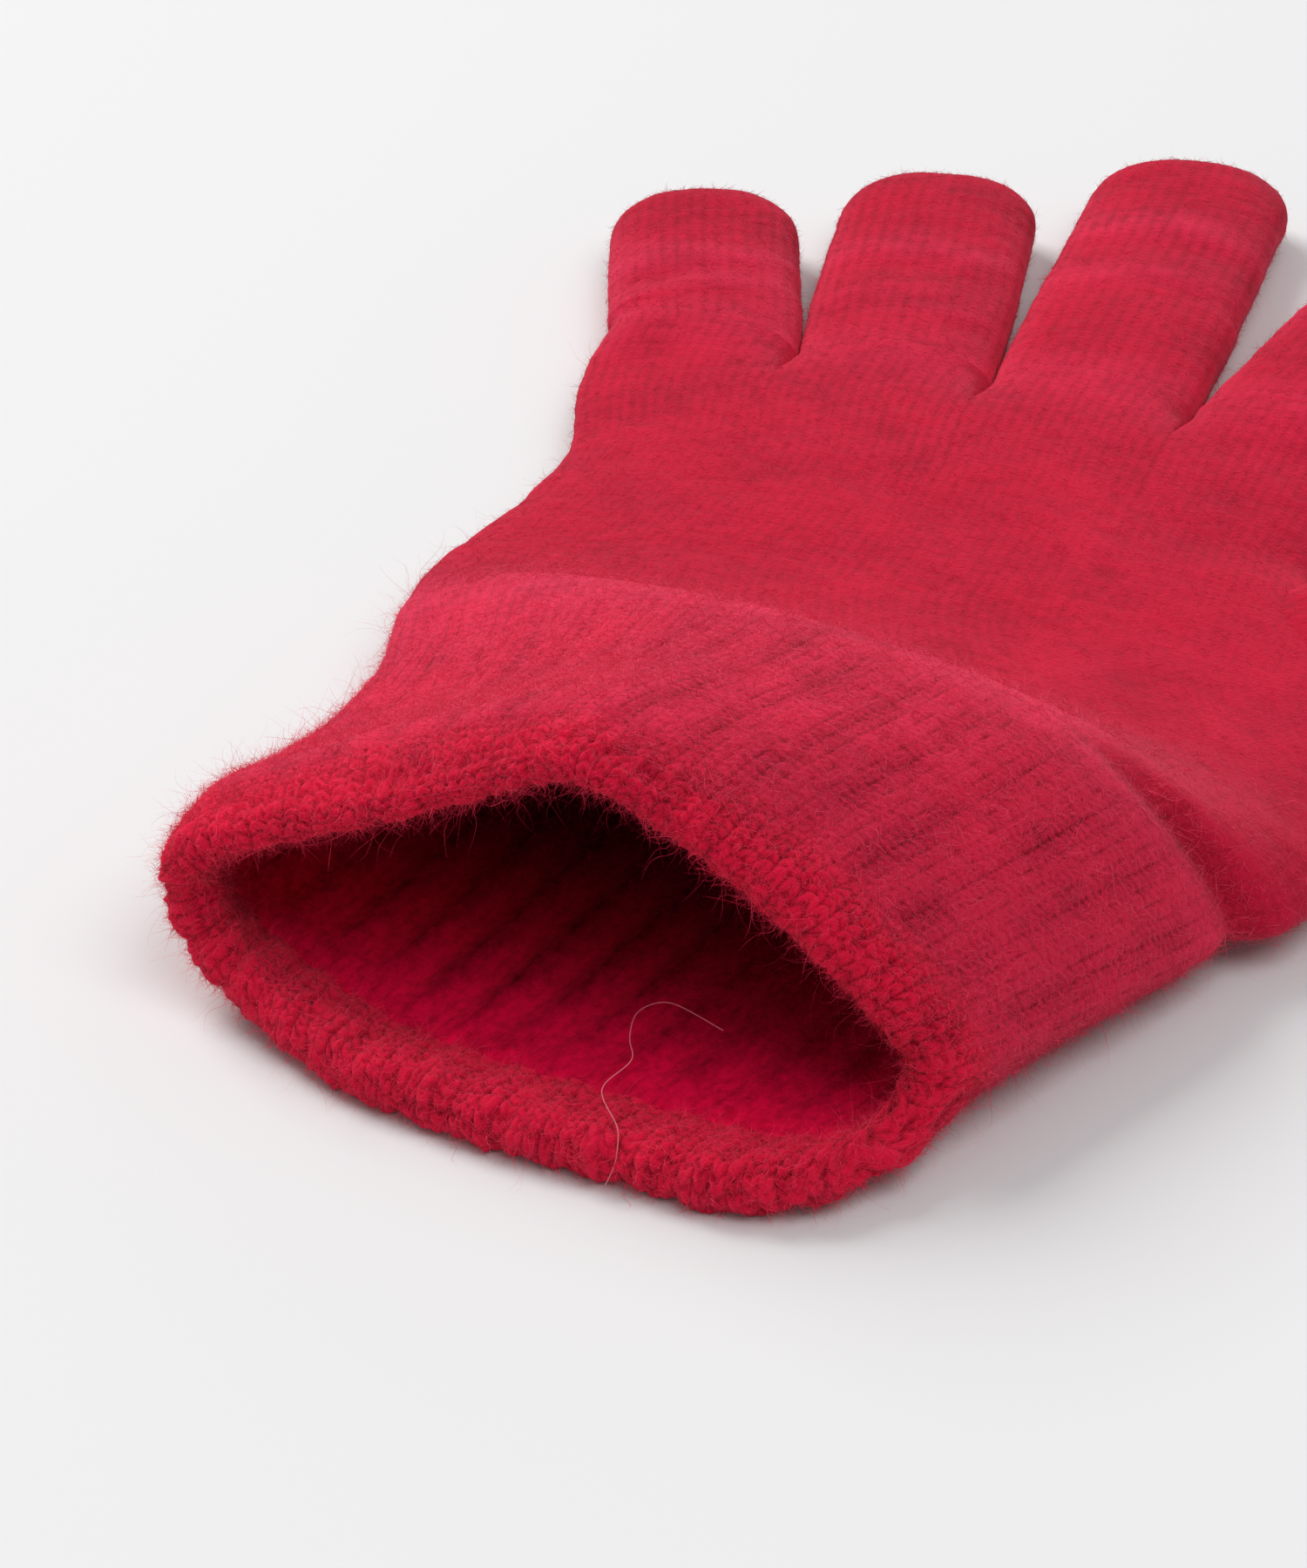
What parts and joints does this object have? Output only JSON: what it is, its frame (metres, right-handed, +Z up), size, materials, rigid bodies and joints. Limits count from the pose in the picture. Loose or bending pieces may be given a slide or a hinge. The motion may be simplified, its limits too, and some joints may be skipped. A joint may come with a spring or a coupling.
{
  "type": "knitted glove",
  "caption": "Soft knitted glove lying flat with an open ribbed cuff, rounded fingers and a set-out thumb.",
  "frame": {"origin": "middle of the outline, on the table", "axes": "+Y from the cuff to the fingertips, +X to the thumb side, +Z up from the table"},
  "size_m": [0.1624, 0.245, 0.0371],
  "materials": {
    "knit_body": "brushed wool, soft matt nap",
    "knit_rib": "brushed wool rib, thick pale nap",
    "knit_welt": "twisted wool yarn, little nap",
    "crotch_yarn": "twisted wool yarn"
  },
  "bodies": {
    "hand": {"wrist_band": "knit_rib", "palm_lower": "knit_body", "palm_upper": "knit_body", "web_little_ring": "crotch_yarn", "web_ring_middle": "crotch_yarn", "web_middle_index": "crotch_yarn", "web_thumb": "crotch_yarn", "little_root": "knit_body", "ring_root": "knit_body", "middle_root": "knit_body", "index_root": "knit_body", "thumb_root": "knit_body"},
    "cuff": {"cuff_welt": "knit_welt", "cuff_rib": "knit_rib"},
    "little_digit": {"little_tube": "knit_body", "little_tip": "knit_body"},
    "ring_digit": {"ring_tube": "knit_body", "ring_tip": "knit_body"},
    "middle_digit": {"middle_tube": "knit_body", "middle_tip": "knit_body"},
    "index_digit": {"index_tube": "knit_body", "index_tip": "knit_body"},
    "thumb_digit": {"thumb_tube": "knit_body", "thumb_tip": "knit_body"}
  },
  "joints": [
    {"name": "wrist_bend", "type": "hinge", "parent": "hand", "child": "cuff", "pos_m": [-0.01313, -0.0547, 0.005], "axis": [-0.9671, 0.2545, 0], "range_deg": [0, 38], "deforming": ["wrist_band"]},
    {"name": "little_curl", "type": "hinge", "parent": "hand", "child": "little_digit", "pos_m": [-0.06005, 0.05364, 0.0047], "axis": [0.9426, 0.3338, 0], "range_deg": [0, 90], "deforming": ["little_root"]},
    {"name": "ring_curl", "type": "hinge", "parent": "hand", "child": "ring_digit", "pos_m": [-0.03426, 0.0539, 0.0047], "axis": [0.9833, 0.1822, 0], "range_deg": [0, 90], "deforming": ["ring_root"]},
    {"name": "middle_curl", "type": "hinge", "parent": "hand", "child": "middle_digit", "pos_m": [-0.00778, 0.054, 0.0047], "axis": [0.9981, 0.061, 0], "range_deg": [0, 90], "deforming": ["middle_root"]},
    {"name": "index_curl", "type": "hinge", "parent": "hand", "child": "index_digit", "pos_m": [0.01954, 0.05393, 0.0047], "axis": [0.9877, -0.1564, 0], "range_deg": [0, 90], "deforming": ["index_root"]},
    {"name": "thumb_curl", "type": "hinge", "parent": "hand", "child": "thumb_digit", "pos_m": [0.04514, 0.00517, 0.0047], "axis": [0.809, -0.5878, 0], "range_deg": [0, 80], "deforming": ["thumb_root"]}
  ]
}
